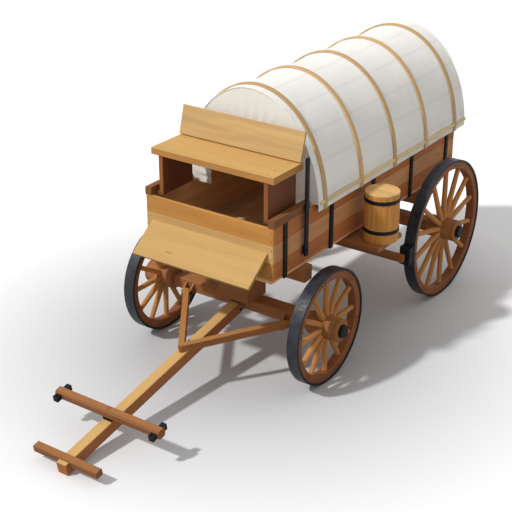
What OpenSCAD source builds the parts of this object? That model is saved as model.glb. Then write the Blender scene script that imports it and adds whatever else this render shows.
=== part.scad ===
// Covered wagon: four spoked wheels, open box body, driver's seat, bowed canvas cover,
// a steering front gear and a draught tongue resting on the ground.
// Units are millimetres. Z is up, the ground is Z = 0, the wagon faces -Y and X = 0 is its middle.
// Lengths along Y are measured from the outer face of the front board, then the whole wagon is
// moved so that its overall length is centred on Y = 0.

/* [Box] */
// Half width over the side boards
box_half = 610; // [450:5:760]
// Length of the box over its end boards
box_len = 2979; // [2400:10:3800]
// Thickness of side and end boards
board_t = 25; // [16:1:40]
// Height of one board, three make a side
board_h = 144.4; // [100:0.1:200]
// Top face of the floor above the ground
floor_top = 994; // [900:1:1150]
// Thickness of the floor boards
floor_t = 28; // [18:1:45]
// Number of floor boards
floor_n = 7; // [4:1:12]
// Width of an iron side strap
strap_w = 45; // [25:1:70]
// Thickness of an iron side strap
strap_t = 15; // [6:1:22]

/* [Seat] */
// Inset of the seat board's ends from the side boards' outer faces
seat_in = 28; // [10:1:80]
// Front edge of the seat board behind the front board
seat_y0 = 46; // [20:1:120]
// Depth of the seat board
seat_d = 404; // [300:1:440]
// Underside of the seat board above the ground
seat_z = 1761; // [1600:1:1900]
// Thickness of the seat board
seat_t = 56; // [25:1:80]
// Height of the seat back board
back_h = 236; // [120:1:300]
// Lean of the seat back
back_lean = 15.9; // [0:0.1:25]
// Length of the top rails beside the seat
rail_len = 498; // [460:1:560]
// Inset of the footboard's ends from the side boards' outer faces
foot_in = 49; // [10:1:120]

/* [Cover] */
// Distance of the canvas's outer face from the side boards
canvas_out = 45; // [35:1:55]
// Rise of the canvas above its springing line
arch_rise = 885; // [600:5:1100]
// Thickness of the canvas as built up with its lining
canvas_t = 8; // [4:1:12]
// Front edge of the canvas behind the front board
canvas_y0 = 566; // [520:1:640]
// Overhang of the canvas behind the box
canvas_over = 111; // [60:1:200]
// Number of bows
bow_n = 5; // [3:1:8]
// Thickness of a bow
bow_t = 11; // [8:1:20]
// Width of a bow
bow_w = 44; // [30:1:60]

/* [Wheels] */
// Radius of a front wheel
front_r = 484.5; // [420:0.5:490]
// Radius of a rear wheel
rear_r = 635; // [500:0.5:700]
// Wheel position of the front axle behind the front board
front_y = 446; // [400:1:520]
// Wheel position of the rear axle behind the front board
rear_y = 2402; // [2000:1:2800]
// Middle plane of a front wheel from the middle of the wagon
front_x = 818; // [760:1:960]
// Middle plane of a rear wheel from the middle of the wagon
rear_x = 837; // [780:1:980]
// Width of a tyre
tyre_w = 102; // [60:1:120]
// Thickness of a tyre
tyre_t = 18; // [10:1:25]
// Radial depth of the wooden rim
felloe_d = 64; // [45:1:85]
// Number of spokes in a front wheel
front_spokes = 12; // [8:2:16]
// Number of spokes in a rear wheel
rear_spokes = 14; // [10:2:18]

/* [Tongue] */
// Length of the tongue from its pivot pin to its tip
tongue_len = 2134; // [1700:1:2400]
// Width of the tongue
tongue_w = 90; // [60:1:120]
// Depth of the tongue
tongue_d = 98; // [60:1:110]
// Distance of the long crossbar from the pivot pin
double_d = 1586; // [1300:1:1700]
// Half length of the long crossbar
double_half = 500; // [350:1:600]
// Half length of the short crossbar near the tip
yoke_half = 303; // [200:1:400]
// Distance of a brace eye from the middle
brace_x = 500; // [380:1:560]
// Distance of the braces' meeting point from the pivot pin
brace_run = 704; // [560:1:860]

/* [Barrel] */
// Middle of the barrel behind the front board
barrel_y = 1280; // [1180:1:1400]
// Gap between the barrel's belly and the side boards
barrel_gap = 62; // [20:1:90]
// Radius of the barrel at its belly
barrel_r = 147; // [110:1:160]
// Height of the barrel with its lid
barrel_h = 428; // [300:1:450]

/* [Hidden] */
$fn = 48;
// clearance between pieces that sit on one another
gap = 0.3;
// radial clearance of a hub on its spindle and of an eye on its pin
run = 0.08;
wall_h = 3 * board_h;
arch_half = box_half + canvas_out;
box_z0 = floor_top + gap;
box_top = box_z0 + wall_h;
floor_bot = floor_top - floor_t;
spring_z = box_top - 38;
hem_z = box_top - 43;
canvas_y1 = box_len + canvas_over;
inner_a = arch_half - canvas_t;
inner_b = arch_rise - canvas_t;
bow_pitch = (canvas_y1 - canvas_y0 - 304) / (bow_n - 1);
bow_first = canvas_y0 + 92;
axle_front = 50;
pivot_y = front_y - axle_front - tongue_d / 2 - 5;
pivot_z = front_r - 37.5;
tongue_slope = asin((pivot_z - 1) / sqrt(tongue_len * tongue_len + tongue_d * tongue_d / 4))
    - atan(tongue_d / 2 / tongue_len);
tip_y = pivot_y - tongue_len * cos(tongue_slope) - tongue_d / 2 * sin(tongue_slope);
mid_y = (tip_y + canvas_y1) / 2;
spindle_r = 30;
hub_in = 128;
hub_out = 150;
cap_out = 183;
bolster_x = 650;
bolster_z0 = floor_bot - 128;
turn_z = bolster_z0 - 92;
block_half = 149;
block_y0 = front_y - 126;
block_y1 = front_y + 136;
gate_pin_y = box_len + 12;
gate_pin_z = floor_bot + 12;
seat_top = seat_z + seat_t;
shelf_top = floor_bot - 24;
seat_half = box_half - seat_in;
foot_half = box_half - foot_in;
barrel_x = box_half + barrel_gap + barrel_r;
strap_n = 5;
strap_in = 158;
strap_ys = [for (i = [0 : strap_n - 1]) strap_in + i * (box_len - strap_in - 164) / (strap_n - 1)];
end_x0 = seat_half - 99;
end_x1 = seat_half - 60;
rail_in = box_half - 48;
way_half = box_half - 215;
axle_z0 = front_r - 54.5;
axle_z1 = front_r + 41.5;
brake_y = rear_y - rear_r - 127;
brake_z = rear_r - 27.5;
rear_y0 = rear_y - 97;
rear_y1 = rear_y + 33;
wood_tan = [0.83, 0.67, 0.42];
wood_mid = [0.66, 0.42, 0.22];
wood_dark = [0.45, 0.28, 0.16];
wood_pale = [0.74, 0.56, 0.35];
iron = [0.09, 0.09, 0.1];
canvas_c = [0.92, 0.91, 0.88];
cream_c = [0.88, 0.86, 0.8];

// rectangle with bevelled corners
function bevel(a0, a1, b0, b1, c) = [
    [a0 + c, b0], [a1 - c, b0], [a1, b0 + c], [a1, b1 - c],
    [a1 - c, b1], [a0 + c, b1], [a0, b1 - c], [a0, b0 + c]];

// outside radius of the barrel's staves at a height z, where h is the barrel's own height
function stave_r(z, h) =
    let (d = min(z, h - z))
        d < 100
            ? lookup(d, [[0, barrel_r - 3], [100, barrel_r - 1]])
            : lookup(d, [[100, barrel_r - 1], [h / 2, barrel_r]]);

// half ellipse from the right springing to the left one
function arch(a, b, n) = [for (i = [0 : n]) [a * cos(180 * i / n), spring_z + b * sin(180 * i / n)]];

// height of the footboard's lower face
function foot_under(y) = floor_top + 8.6 + (y + 239.6) * 0.7804;

module at() {
    translate([0, -mid_y, 0])
        children();
}

// beam along Y
module beam_y(x0, x1, y0, y1, z0, z1, c = 2) {
    translate([0, y1, 0])
        rotate([90, 0, 0])
            linear_extrude(height = y1 - y0)
                polygon(bevel(x0, x1, z0, z1, c));
}

// beam along X
module beam_x(x0, x1, y0, y1, z0, z1, c = 2) {
    translate([x0, 0, 0])
        rotate([90, 0, 90])
            linear_extrude(height = x1 - x0)
                polygon(bevel(y0, y1, z0, z1, c));
}

// beam along Z
module beam_z(x0, x1, y0, y1, z0, z1, c = 2) {
    translate([0, 0, z0])
        linear_extrude(height = z1 - z0)
            polygon(bevel(x0, x1, y0, y1, c));
}

// outline in the YZ plane given a thickness along X
module plate_x(x0, x1, pts) {
    translate([x0, 0, 0])
        rotate([90, 0, 90])
            linear_extrude(height = x1 - x0)
                polygon(pts);
}

// the same piece on both sides
module both() {
    children();
    mirror([1, 0, 0])
        children();
}

// rod along X
module rod_x(x0, x1, y, z, r) {
    translate([x0, y, z])
        rotate([0, 90, 0])
            cylinder(h = x1 - x0, r = r);
}

// strip that follows the canvas, offset outwards from d0 to d1
module arch_strip(d0, d1, y0, y1, foot) {
    n = 44;
    out = arch(arch_half + d1, arch_rise + d1, n);
    inn = arch(arch_half + d0, arch_rise + d0, n);
    translate([0, y1, 0])
        rotate([90, 0, 0])
            linear_extrude(height = y1 - y0)
                polygon(concat(
                    [[arch_half + d1, foot]], out, [[-arch_half - d1, foot]],
                    [[-arch_half - d0, foot]],
                    [for (i = [n : -1 : 0]) inn[i]],
                    [[arch_half + d0, foot]]));
}

// ---- body ----

module side_wall() {
    for (i = [0 : 2])
        beam_y(box_half - board_t, box_half, board_t + gap, box_len,
            box_z0 + i * board_h, box_z0 + (i + 1) * board_h - gap, 2.5);
}

module left_side() {
    color(wood_dark)
        at()
            side_wall();
}

module right_side() {
    color(wood_dark)
        at()
            mirror([1, 0, 0])
                side_wall();
}

module front_board() {
    color(wood_mid)
        at()
            for (i = [0 : 2])
                beam_x(-box_half, box_half, 0, board_t,
                    box_z0 + i * board_h, box_z0 + (i + 1) * board_h - gap, 2.5);
}

module floor_boards() {
    w = (2 * box_half - 20) / floor_n;
    color(wood_dark)
        at()
            for (i = [0 : floor_n - 1])
                beam_y(10 - box_half + i * w, 10 - box_half + (i + 1) * w - gap, 6, box_len - 5,
                    floor_bot, floor_top, 1.5);
}

module seat_frame() {
    color(wood_mid)
        at()
            both() {
                beam_y(rail_in, box_half + 10, 0, rail_len, box_top, box_top + 67, 3);
                beam_y(end_x0, rail_in + 1, 60, 440, box_top, box_top + 22, 2);
                beam_z(end_x0, end_x1, 60, 440, box_top + 21, seat_z - gap, 2);
            }
}

module seat_board() {
    color(wood_tan)
        at()
            beam_x(-seat_half, seat_half, seat_y0, seat_y0 + seat_d, seat_z, seat_top, 3);
}

module seat_back() {
    color(wood_tan)
        at() {
            translate([0, seat_y0 + 357.5, seat_top + 12])
                rotate([-back_lean, 0, 0])
                    beam_x(-seat_half, seat_half, 0, 22, 0, back_h, 3);
            both()
                plate_x(380, 420, [[seat_y0 + 372, seat_top + gap], [seat_y0 + 403, seat_top + gap],
                    [seat_y0 + 449, seat_top + 163], [seat_y0 + 410, seat_top + 163]]);
        }
}

module footboard() {
    color(wood_tan)
        at()
            plate_x(-foot_half, foot_half, [[-gap, floor_top + 228], [-255, floor_top + 29],
                [-239.6, foot_under(-239.6)], [-gap, foot_under(-gap)]]);
}

module box_irons() {
    color(iron)
        at() {
            for (y = strap_ys)
                both()
                    beam_z(box_half + gap, box_half + strap_t, y - strap_w / 2, y + strap_w / 2,
                        floor_bot + 6, box_top - gap, 2);
            both()
                plate_x(430, 442, [[-gap, foot_under(-gap) - gap], [-200, foot_under(-200) - gap],
                    [-30, floor_top + 4], [-gap, floor_top + 4]]);
            both()
                difference() {
                    beam_x(280, 360, box_len - 4.7, gate_pin_y + 12, gate_pin_z - 12, gate_pin_z + 9, 3);
                    rod_x(270, 370, gate_pin_y, gate_pin_z, 6 + run);
                }
        }
}

module brake_lever() {
    color(iron)
        at() {
            beam_z(box_half + 22, box_half + 40, 393, 437, floor_top + 72, floor_top + 882, 3);
            beam_z(box_half + gap, box_half + 22.5, 398, 432, floor_top + 85, floor_top + 155, 3);
            rod_x(box_half + 10, box_half + 48, 415, floor_top + 120, 11);
        }
}

module brake_beam() {
    color(wood_mid)
        at() {
            beam_x(-rear_x - 5, rear_x + 5, brake_y, brake_y + 50, brake_z - 32.5, brake_z + 32.5, 4);
            both()
                beam_z(300, 350, brake_y + 8, brake_y + 42, brake_z + 31, floor_bot - gap, 3);
        }
}

module brake_shoes() {
    color(iron)
        at()
            both()
                difference() {
                    beam_z(rear_x - 50, rear_x + 48, brake_y + 50 + gap, brake_y + 128,
                        brake_z - 67.5, brake_z + 92.5, 4);
                    rod_x(rear_x - 60, rear_x + 60, rear_y, rear_r, rear_r + 6);
                }
}

module bow_rails() {
    color(wood_pale)
        at() {
            difference() {
                both()
                    beam_y(box_half + gap, inner_a * 0.9982, canvas_y0 + 36, box_len,
                        box_top - 33, box_top, 2);
                for (y = strap_ys)
                    translate([-box_half - strap_t - gap, y - strap_w / 2 - gap, box_top - 60])
                        cube([2 * (box_half + strap_t + gap), strap_w + 2 * gap, 60]);
            }
            difference() {
                both()
                    beam_y(arch_half - 0.6, arch_half + 13, canvas_y0 + 24, canvas_y1 - 6,
                        box_top + 8, box_top + 36, 2);
                for (i = [0 : bow_n - 1])
                    translate([-900, bow_first + i * bow_pitch - bow_w / 2 - gap, box_top - 20])
                        cube([1800, bow_w + 2 * gap, 90]);
            }
        }
}

module bows() {
    color(wood_pale)
        at()
            for (i = [0 : bow_n - 1])
                arch_strip(gap, bow_t, bow_first + i * bow_pitch - bow_w / 2,
                    bow_first + i * bow_pitch + bow_w / 2, hem_z + 3);
}

module canvas_cover() {
    color(canvas_c)
        at()
            arch_strip(-canvas_t, 0, canvas_y0, canvas_y1, hem_z);
}

module front_curtain() {
    color(cream_c)
        at()
            difference() {
                translate([0, canvas_y0 + 10, 0])
                    rotate([90, 0, 0])
                        linear_extrude(height = 6)
                            polygon(concat([[inner_a - gap, hem_z - 8]],
                                arch(inner_a - gap, inner_b - gap, 44), [[gap - inner_a, hem_z - 8]]));
                both()
                    translate([box_half - board_t - gap, canvas_y0 - 8, hem_z - 50])
                        cube([board_t + 60, 30, 93 + gap]);
                translate([-way_half, canvas_y0 - 8, hem_z - 50])
                    cube([2 * way_half, 30, 265]);
                translate([0, canvas_y0 + 24, hem_z + 214])
                    rotate([90, 0, 0])
                        linear_extrude(height = 30)
                            polygon([for (i = [0 : 24])
                                [way_half * cos(180 * i / 24), 300 * sin(180 * i / 24)]]);
            }
}

module rear_curtain() {
    color(cream_c)
        at()
            difference() {
                translate([0, box_len + 87, 0])
                    rotate([90, 0, 0])
                        linear_extrude(height = 6)
                            polygon(concat([[inner_a - 2, box_top + 12]],
                                [for (p = arch(inner_a - gap, inner_b - gap, 44)) if (p[1] > box_top + 13) p],
                                [[2 - inner_a, box_top + 12]]));
                translate([0, box_len + 110, box_top + 362])
                    rotate([90, 0, 0])
                        linear_extrude(height = 60)
                            polygon([for (i = [0 : 31]) [170 * cos(360 * i / 32), 210 * sin(360 * i / 32)]]);
            }
}

module barrel() {
    h = barrel_h - 14;
    e = barrel_r - 3;
    m = barrel_r - 1;
    color(wood_mid)
        at()
            translate([barrel_x, barrel_y, shelf_top + gap])
                rotate_extrude($fn = 64)
                    polygon([[0, 14], [0, 30], [e - 14, 30], [m - 14, 100], [barrel_r - 14, h / 2],
                        [m - 14, h - 100], [e - 14, h], [e, h], [m, h - 100], [barrel_r, h / 2],
                        [m, 100], [e, 0], [e - 14, 0], [e - 14, 14]]);
}

module barrel_hoops() {
    h = barrel_h - 14;
    color(iron)
        at()
            translate([barrel_x, barrel_y, shelf_top + gap])
                for (z = [100, h - 52])
                    rotate_extrude($fn = 64)
                        polygon(concat(
                            [for (s = [-16, 0, 16]) [stave_r(z + s, h) + 0.35, z + s]],
                            [for (s = [16, 0, -16]) [stave_r(z + s, h) + 4.8, z + s]]));
}

module barrel_lid() {
    color(wood_tan)
        at()
            translate([barrel_x, barrel_y, shelf_top + barrel_h - 14 + 2 * gap])
                cylinder(h = 14, r = barrel_r - 3, $fn = 64);
}

module barrel_shelf() {
    color(wood_mid)
        at() {
            beam_x(box_half - 310, barrel_x + 93, barrel_y - 195, barrel_y + 195,
                shelf_top - 40, shelf_top, 3);
            for (y = [barrel_y - 170, barrel_y + 90])
                beam_y(box_half - 290, box_half - 30, y, y + 80, shelf_top - 1, floor_bot - gap, 2);
        }
}

module front_bolster() {
    color(wood_mid)
        at() {
            beam_x(-bolster_x, bolster_x, front_y - 62, front_y + 46, bolster_z0, floor_bot - gap, 4);
            beam_z(-block_half, block_half, block_y0, block_y1, turn_z + 9, floor_bot - gap, 4);
        }
}

module turntable_top() {
    color(iron)
        at()
            difference() {
                translate([0, front_y, turn_z + 1])
                    cylinder(h = 8 - gap, r = 140, $fn = 64);
                translate([0, front_y, turn_z - 1])
                    cylinder(h = 20, r = 20 + run, $fn = 32);
            }
}

module rear_frame() {
    color(wood_mid)
        at() {
            beam_x(-bolster_x, bolster_x, rear_y0, rear_y1, bolster_z0, floor_bot - gap, 4);
            both()
                beam_z(250, 350, rear_y - 60, rear_y + 25, rear_r + 53 + gap, bolster_z0 + 1, 3);
            beam_y(-38, 38, block_y1 + gap, rear_y + 78, bolster_z0 - 76, bolster_z0 + 1, 4);
        }
}

// axle beam with a round spindle at each end
module axle(x, y, r, half_d, z0, z1) {
    beam_x(hub_in + 10 - x, x - hub_in - 10, y - half_d, y + half_d, z0, z1, 4);
    both()
        rod_x(x - hub_in - 30, x + hub_out - 8, y, r, spindle_r);
}

module rear_axle() {
    color(wood_mid)
        at()
            axle(rear_x, rear_y, rear_r, 62, rear_r - 47, rear_r + 53);
}

// ---- front gear ----

module front_axle() {
    color(wood_mid)
        at() {
            axle(front_x, front_y, front_r, axle_front, axle_z0, axle_z1);
            beam_x(hub_in + 10 - front_x, front_x - hub_in - 10, front_y, front_y + 95,
                axle_z0, axle_z1, 4);
            difference() {
                both() {
                    for (x = [brace_x - 44, brace_x + 28])
                        hinge_lug(x, x + 16);
                    hinge_lug(tongue_w / 2 + 3, tongue_w / 2 + 19);
                }
                rod_x(-brace_x - 60, brace_x + 60, pivot_y, pivot_z, 12 + gap);
            }
        }
}

module gear_block() {
    color(wood_mid)
        at()
            difference() {
                beam_z(-block_half, block_half, block_y0, block_y1, axle_z1 + gap, turn_z - 8, 4);
                translate([0, front_y, axle_z1 - 20])
                    cylinder(h = 500, r = 20 + run, $fn = 32);
            }
}

module gear_irons() {
    color(iron)
        at() {
            difference() {
                translate([0, front_y, turn_z - 8 + gap])
                    cylinder(h = 8, r = 140, $fn = 64);
                translate([0, front_y, turn_z - 20])
                    cylinder(h = 40, r = 15, $fn = 32);
            }
            translate([0, front_y, axle_z1 + gap])
                cylinder(h = turn_z + 6 - axle_z1, r = 20, $fn = 32);
            both()
                rod_x(brace_x - 50, brace_x + 50, pivot_y, pivot_z, 12);
            rod_x(-tongue_w / 2 - 25, tongue_w / 2 + 25, pivot_y, pivot_z, 12);
        }
}

module hinge_lug(x0, x1) {
    y = front_y - axle_front;
    plate_x(x0, x1, [[y + 1, axle_z0 + 6], [y + 1, axle_z1 - 10], [y - 20, axle_z1 - 26],
        [pivot_y - 16, pivot_z + 14], [pivot_y - 16, pivot_z - 14], [y - 20, axle_z0 + 4]]);
}

// ---- wheels ----

module wheel_wood(r, n) {
    rim = r - tyre_t - gap;
    inn = rim - felloe_d;
    difference() {
        union() {
            rotate_extrude($fn = 64)
                polygon([[0, -hub_in], [93, -hub_in], [97, 4 - hub_in], [97, -60], [99, -46], [99, 46],
                    [97, 60], [97, hub_out - 5], [92, hub_out], [0, hub_out]]);
            for (i = [0 : n - 1])
                rotate([0, 0, i * 360 / n])
                    translate([70, 0, 0])
                        rotate([0, 90, 0])
                            cylinder(h = inn - 60, r1 = 25, r2 = 22, $fn = 24);
            rotate_extrude($fn = 96)
                polygon([[inn, -36], [inn + 5, -41], [rim, -41], [rim, 41], [inn + 5, 41], [inn, 36]]);
        }
        translate([0, 0, -hub_in - 5])
            cylinder(h = hub_in + hub_out + 10, r = spindle_r + run, $fn = 48);
    }
}

module wheel_tyre(r) {
    rotate_extrude($fn = 96)
        polygon([[r - tyre_t, -tyre_w / 2], [r - 2, -tyre_w / 2], [r, 2 - tyre_w / 2],
            [r, tyre_w / 2 - 2], [r - 2, tyre_w / 2], [r - tyre_t, tyre_w / 2]]);
}

module wheel_cap() {
    rotate_extrude($fn = 48)
        polygon([[0, hub_out + gap], [54, hub_out + gap], [54, cap_out - 7], [48, cap_out], [0, cap_out]]);
}

module at_wheel(side, x, y, r) {
    at()
        translate([side * x, y, r])
            rotate([0, side * 90, 0])
                children();
}

module front_left_wheel() {
    color(wood_mid)
        at_wheel(1, front_x, front_y, front_r)
            wheel_wood(front_r, front_spokes);
}

module front_left_tyre() {
    color(iron)
        at_wheel(1, front_x, front_y, front_r)
            wheel_tyre(front_r);
}

module front_left_cap() {
    color(iron)
        at_wheel(1, front_x, front_y, front_r)
            wheel_cap();
}

module front_right_wheel() {
    color(wood_mid)
        at_wheel(-1, front_x, front_y, front_r)
            wheel_wood(front_r, front_spokes);
}

module front_right_tyre() {
    color(iron)
        at_wheel(-1, front_x, front_y, front_r)
            wheel_tyre(front_r);
}

module front_right_cap() {
    color(iron)
        at_wheel(-1, front_x, front_y, front_r)
            wheel_cap();
}

module rear_left_wheel() {
    color(wood_mid)
        at_wheel(1, rear_x, rear_y, rear_r)
            wheel_wood(rear_r, rear_spokes);
}

module rear_left_tyre() {
    color(iron)
        at_wheel(1, rear_x, rear_y, rear_r)
            wheel_tyre(rear_r);
}

module rear_left_cap() {
    color(iron)
        at_wheel(1, rear_x, rear_y, rear_r)
            wheel_cap();
}

module rear_right_wheel() {
    color(wood_mid)
        at_wheel(-1, rear_x, rear_y, rear_r)
            wheel_wood(rear_r, rear_spokes);
}

module rear_right_tyre() {
    color(iron)
        at_wheel(-1, rear_x, rear_y, rear_r)
            wheel_tyre(rear_r);
}

module rear_right_cap() {
    color(iron)
        at_wheel(-1, rear_x, rear_y, rear_r)
            wheel_cap();
}

// ---- tongue ----

// frame of the tongue: the pin is the origin and the pole runs along -Y
module on_tongue() {
    at()
        translate([0, pivot_y, pivot_z])
            rotate([tongue_slope, 0, 0])
                children();
}

half_w = tongue_w / 2;
half_d = tongue_d / 2;
yoke_y = 68 - tongue_len;
brace_rise = half_d + 32;

module tongue_pole() {
    color(wood_tan)
        on_tongue()
            difference() {
                union() {
                    beam_y(-half_w, half_w, -tongue_len, -10, -half_d, half_d, 3);
                    rod_x(-half_w, half_w, 0, 0, half_d);
                }
                rod_x(-half_w - 5, half_w + 5, 0, 0, 12 + run);
                translate([-200, yoke_y - 32.5 - gap, 3 - gap])
                    cube([400, 65 + 2 * gap, 200]);
                translate([0, -double_d, -20 - gap])
                    cylinder(h = 200, r = 14 + run, $fn = 32);
            }
}

module brace() {
    len = sqrt(brace_x * brace_x + brace_run * brace_run);
    translate([brace_x, 0, 0]) {
        rotate([-atan(brace_rise / len), 0, -atan(brace_x / brace_run)])
            beam_y(-25, 25, -len - 20, -30, -32, 32, 3);
        rod_x(-26, 26, 0, 0, 33);
        rotate([0, 0, -atan(brace_x / brace_run) / 2])
            beam_y(-24, 24, -55, 0, -28, 32, 3);
    }
}

module tongue_braces() {
    color(wood_mid)
        on_tongue()
            difference() {
                both()
                    brace();
                translate([-half_w - gap, -tongue_len, -half_d - 30])
                    cube([tongue_w + 2 * gap, tongue_len - 60, tongue_d + 30 + gap]);
                both() {
                    rod_x(brace_x - 60, brace_x + 60, 0, 0, 12 + run);
                    rod_x(brace_x - 60, brace_x - 26.5, 0, 0, 25);
                }
                translate([-200, -brace_run - 240, -200])
                    cube([400, 200, 500]);
            }
}

module yoke_bar() {
    color(wood_mid)
        on_tongue()
            beam_x(-yoke_half, yoke_half, yoke_y - 32.5, yoke_y + 32.5, 3, 60, 5);
}

module tongue_irons() {
    color(iron)
        on_tongue() {
            difference() {
                beam_z(-half_w + 2, half_w - 2, -double_d - 35, -double_d + 35, half_d + gap, half_d + 18, 3);
                translate([0, -double_d, 0])
                    cylinder(h = 200, r = 13, $fn = 32);
            }
            translate([0, -double_d, -20])
                cylinder(h = half_d + 20 + 18 + 75 + 2 * gap + 1, r = 14, $fn = 32);
            translate([0, -double_d, half_d + 18 + 75 + 2 * gap])
                cylinder(h = 3, r = 18, $fn = 32);
        }
}

module doubletree() {
    color(wood_mid)
        on_tongue()
            difference() {
                beam_x(-double_half, double_half, -double_d - 37, -double_d + 37,
                    half_d + 18 + gap, half_d + 18 + 75 + gap, 14);
                translate([0, -double_d, 0])
                    cylinder(h = 300, r = 14 + run, $fn = 32);
                both()
                    end_bolt(half_d + 18 + gap, 60, 9 + gap);
            }
}

// bolt through an end of the long crossbar, running along the tongue
module end_bolt(z0, reach, r) {
    translate([double_half - 37.5, reach - double_d, z0 + 37.5])
        rotate([90, 0, 0])
            cylinder(h = 2 * reach, r = r, $fn = 32);
}

module doubletree_irons() {
    z0 = half_d + 18 + gap;
    color(iron)
        on_tongue()
            both()
                difference() {
                    union() {
                        beam_z(double_half - 60, double_half - 15, -double_d - 84, -double_d - 37 - gap,
                            z0 + 15, z0 + 60, 3);
                        beam_z(double_half - 60, double_half - 15, -double_d + 37 + gap, -double_d + 84,
                            z0 + 15, z0 + 60, 3);
                        end_bolt(z0, 50, 9);
                    }
                    translate([double_half - 37.5, -double_d - 64, z0])
                        cylinder(h = 100, r = 10, $fn = 32);
                }
}

// ---- tailgate ----

module tailgate() {
    x = box_half - board_t - 5;
    color(wood_dark)
        at()
            for (i = [0 : 2])
                beam_x(-x, x, box_len - board_t - 2, box_len - 2,
                    box_z0 + 6 + i * (board_h - 3), box_z0 + 6 + (i + 1) * (board_h - 3) - gap, 2.5);
}

module tailgate_irons() {
    color(iron)
        at() {
            both()
                for (x = [225, 365])
                    gate_hinge(x);
            both()
                rod_x(222, 418, gate_pin_y, gate_pin_z, 6);
            both()
                beam_z(480, 520, box_len - 2 + gap, box_len + 6, box_z0 + 10, box_top - 8, 2);
        }
}

module gate_hinge(x) {
    difference() {
        union() {
            beam_z(x, x + 50, box_len - 2 + gap, box_len + 6, gate_pin_z, box_top - 30, 2);
            rod_x(x, x + 50, gate_pin_y, gate_pin_z, 12);
        }
        translate([x - 5, box_len - 20, gate_pin_z - 30])
            cube([60, 14 + gap, 40]);
    }
}

left_side();
right_side();
front_board();
floor_boards();
seat_frame();
seat_board();
seat_back();
footboard();
box_irons();
brake_lever();
brake_beam();
brake_shoes();
bow_rails();
bows();
canvas_cover();
front_curtain();
rear_curtain();
barrel();
barrel_hoops();
barrel_lid();
barrel_shelf();
front_bolster();
turntable_top();
rear_frame();
rear_axle();
front_axle();
gear_block();
gear_irons();
front_left_wheel();
front_left_tyre();
front_left_cap();
front_right_wheel();
front_right_tyre();
front_right_cap();
rear_left_wheel();
rear_left_tyre();
rear_left_cap();
rear_right_wheel();
rear_right_tyre();
rear_right_cap();
tongue_pole();
tongue_braces();
yoke_bar();
tongue_irons();
doubletree();
doubletree_irons();
tailgate();
tailgate_irons();
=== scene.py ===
"""Looks of the covered wagon: camera, light, woods, ironwork, cloth cover, built-up wheels and barrel.

Everything is in metres in the row frame: +Z up, -Y is the tongue's end, +X the wagon's left side.
"""

import math
import random

import bpy
from mathutils import Matrix, Vector, noise


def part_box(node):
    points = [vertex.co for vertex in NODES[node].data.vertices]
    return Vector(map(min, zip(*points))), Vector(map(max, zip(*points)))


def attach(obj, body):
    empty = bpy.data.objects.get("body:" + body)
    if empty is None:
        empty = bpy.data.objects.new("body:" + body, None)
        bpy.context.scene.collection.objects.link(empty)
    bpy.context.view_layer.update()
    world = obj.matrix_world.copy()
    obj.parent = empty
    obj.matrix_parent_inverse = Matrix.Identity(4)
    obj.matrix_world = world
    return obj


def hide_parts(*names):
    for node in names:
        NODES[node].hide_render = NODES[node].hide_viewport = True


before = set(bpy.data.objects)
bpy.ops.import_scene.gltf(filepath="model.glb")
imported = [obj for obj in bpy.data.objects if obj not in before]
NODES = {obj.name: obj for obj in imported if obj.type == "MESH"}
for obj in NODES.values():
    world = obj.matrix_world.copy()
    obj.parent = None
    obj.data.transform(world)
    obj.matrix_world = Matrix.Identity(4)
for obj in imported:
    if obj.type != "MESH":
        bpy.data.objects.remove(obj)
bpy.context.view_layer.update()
MM = 0.001
TURN = 2 * math.pi

# the cover's arch, from its CAD node: half width, the height where the curve starts, and its rise
COVER_LOW, COVER_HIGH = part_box("canvas_cover")
HALF = COVER_HIGH.x
SPRING = COVER_LOW.z + 5 * MM
RISE = COVER_HIGH.z - SPRING


def srgb(r, g, b, scale=1.0):
    """A linear RGBA colour from 0-255 display values, its light scaled."""
    linear = [(c / 255 / 12.92) if c < 11 else (((c / 255) + 0.055) / 1.055) ** 2.4 for c in (r, g, b)]
    return (*[min(1.0, c * scale) for c in linear], 1.0)


def lerp(a, b, t):
    return a + (b - a) * t


def smooth(t):
    t = max(0.0, min(1.0, t))
    return t * t * (3 - 2 * t)


# ---------------------------------------------------------------- camera and light

CAMERA_AT = Vector((5.274, -7.529, 5.122))
CAMERA_AZIMUTH, CAMERA_ELEVATION = math.radians(35.06), math.radians(25.22)
SENSOR_MM, LENS_MM = 36, 85.82


def looking(azimuth, elevation):
    """The direction from the object towards a viewer at that azimuth and elevation."""
    level = math.cos(elevation)
    return Vector((math.sin(azimuth) * level, -math.cos(azimuth) * level, math.sin(elevation)))


def make_camera():
    data = bpy.data.cameras.new("camera")
    data.sensor_width, data.lens = SENSOR_MM, LENS_MM
    cam = bpy.data.objects.new("camera", data)
    cam.location = CAMERA_AT
    cam.rotation_mode = "QUATERNION"
    cam.rotation_quaternion = (-looking(CAMERA_AZIMUTH, CAMERA_ELEVATION)).to_track_quat("-Z", "Y")
    bpy.context.scene.collection.objects.link(cam)
    bpy.context.scene.camera = cam


SUN_FROM = Vector((-0.348, -0.571, 0.744))
SUN_STRENGTH = 2.42
SUN_SPREAD = math.radians(3.5)
SKY_STRENGTH = 0.58


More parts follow.
